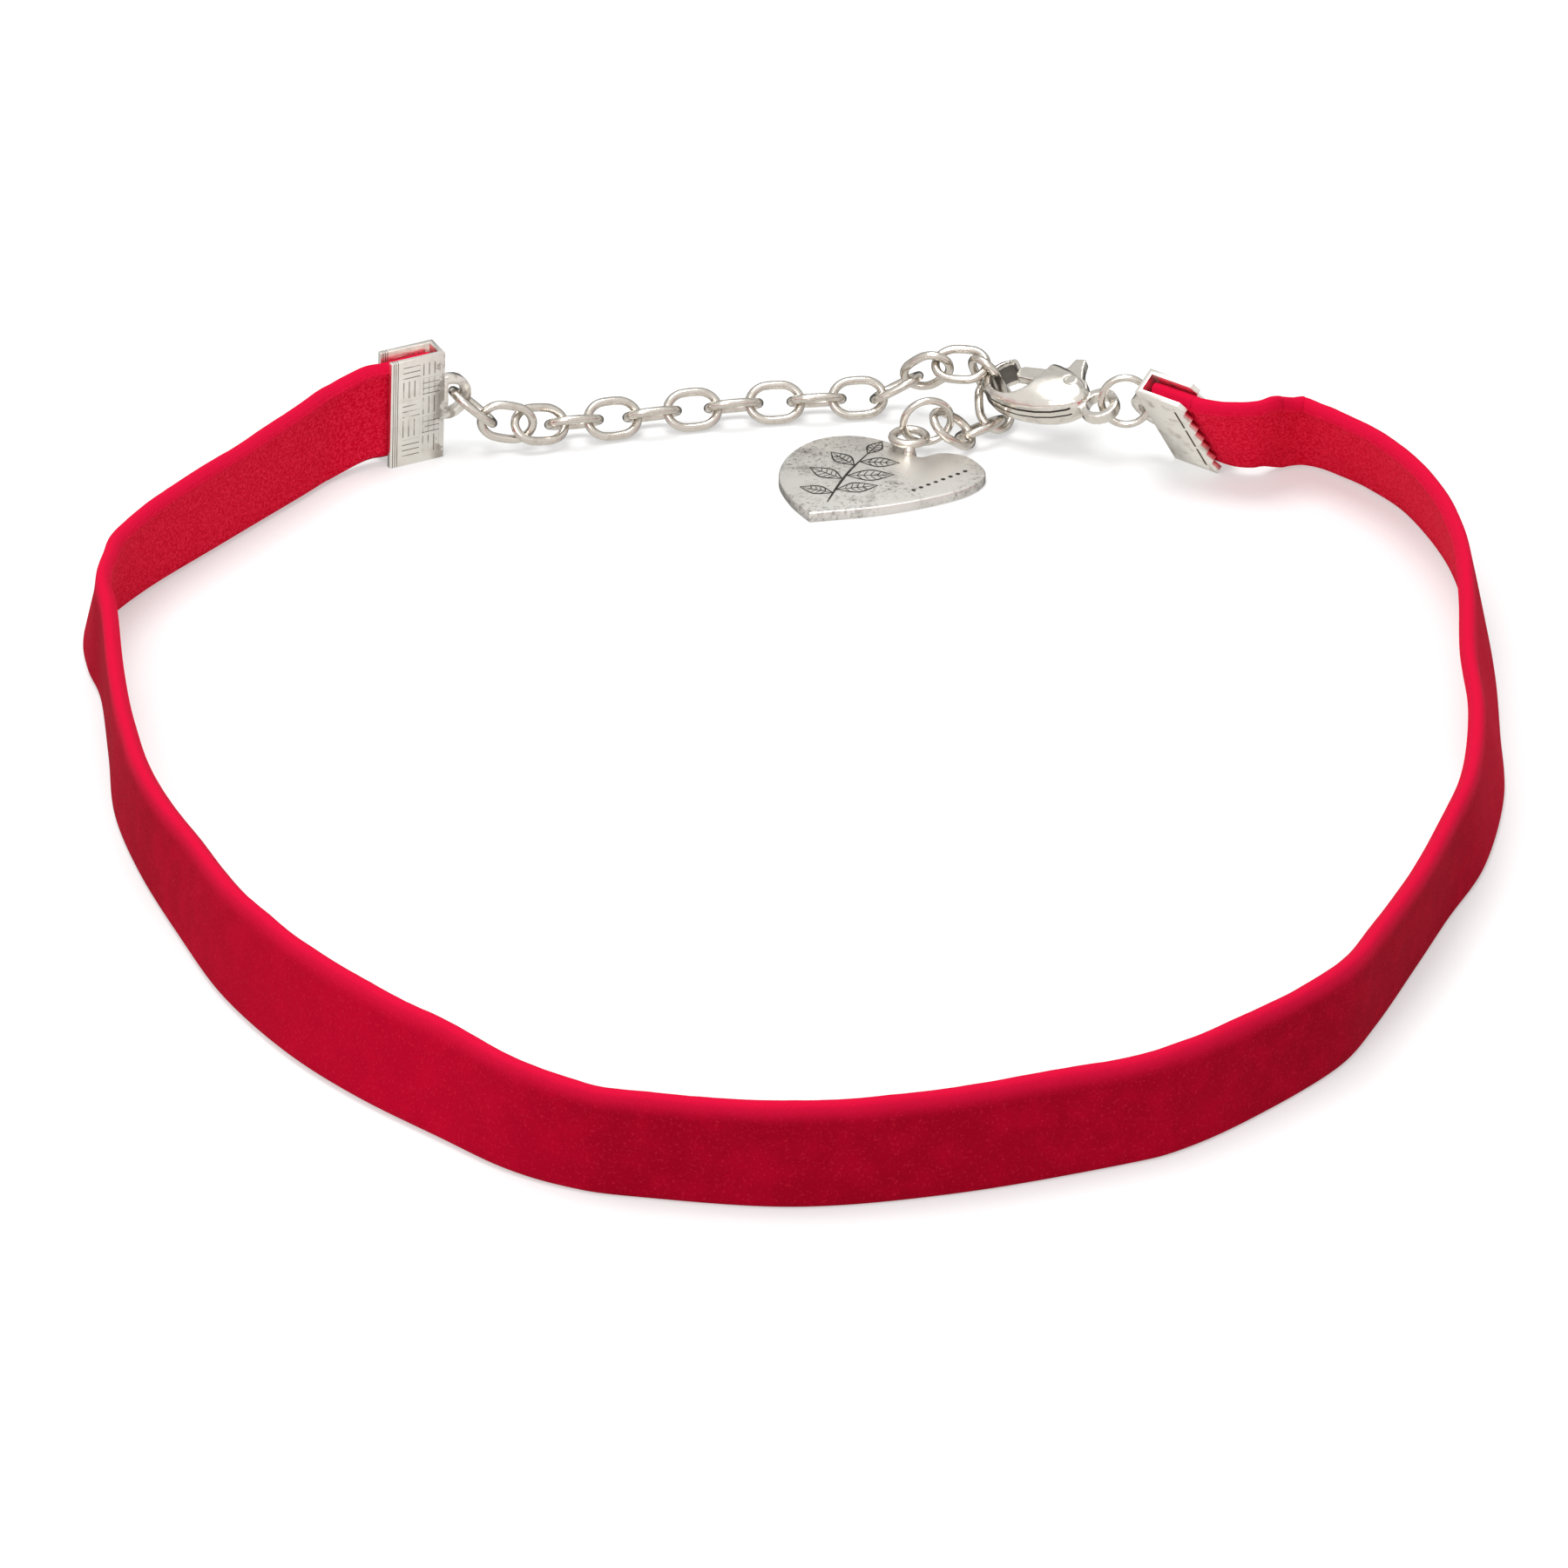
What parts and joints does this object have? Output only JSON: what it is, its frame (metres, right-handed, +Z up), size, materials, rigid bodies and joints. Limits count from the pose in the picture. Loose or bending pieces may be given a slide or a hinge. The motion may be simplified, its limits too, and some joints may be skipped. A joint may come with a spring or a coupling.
{
  "type": "choker necklace",
  "caption": "Velvet ribbon choker standing in a loop, with metal end clamps, an extension chain, a flat heart charm and a lobster clasp.",
  "frame": {"origin": "middle of the choker's footprint, on the surface it lies on", "axes": "+Z up along the ribbon's width, -Y towards the front of the choker, +Y towards its clasp and chain"},
  "size_m": [0.1146, 0.1358, 0.0102],
  "materials": {
    "velvet": "crimson velvet pile outside, plain ribbed weave inside",
    "clamp_metal": "warm silver plate, stamped",
    "wire_metal": "smooth silver plate",
    "heart_metal": "antique silver, darkened in the recesses",
    "clasp_metal": "smooth silver plate"
  },
  "bodies": {
    "choker": {"ribbon": "velvet", "ribbon_clamp_left": "clamp_metal", "ribbon_clamp_right": "clamp_metal", "chain_link_01": "wire_metal", "chain_link_02": "wire_metal", "chain_link_03": "wire_metal", "chain_link_04": "wire_metal", "chain_link_05": "wire_metal", "chain_link_06": "wire_metal", "chain_link_07": "wire_metal", "chain_link_08": "wire_metal", "chain_link_09": "wire_metal", "chain_link_10": "wire_metal", "chain_link_11": "wire_metal", "chain_link_12": "wire_metal", "chain_link_13": "wire_metal", "chain_link_14": "wire_metal", "chain_link_15": "wire_metal", "chain_link_16": "wire_metal", "chain_link_17": "wire_metal", "chain_link_18": "wire_metal", "heart_jump_ring": "wire_metal", "heart_charm": "heart_metal", "clasp_body": "clasp_metal", "clasp_rivet": "clasp_metal", "clasp_jump_ring": "wire_metal"},
    "clasp_lever": {"clasp_lever": "clasp_metal"}
  },
  "joints": [
    {"name": "clasp_lever_pivot", "type": "hinge", "parent": "choker", "child": "clasp_lever", "pos_m": [0.02421, 0.06041, 0.00505], "axis": [-0.2937, -0.3142, 0.9028], "range_deg": [0, 20], "stiffness_Nm_per_rad": 0.001, "springref_deg": -11.46}
  ]
}
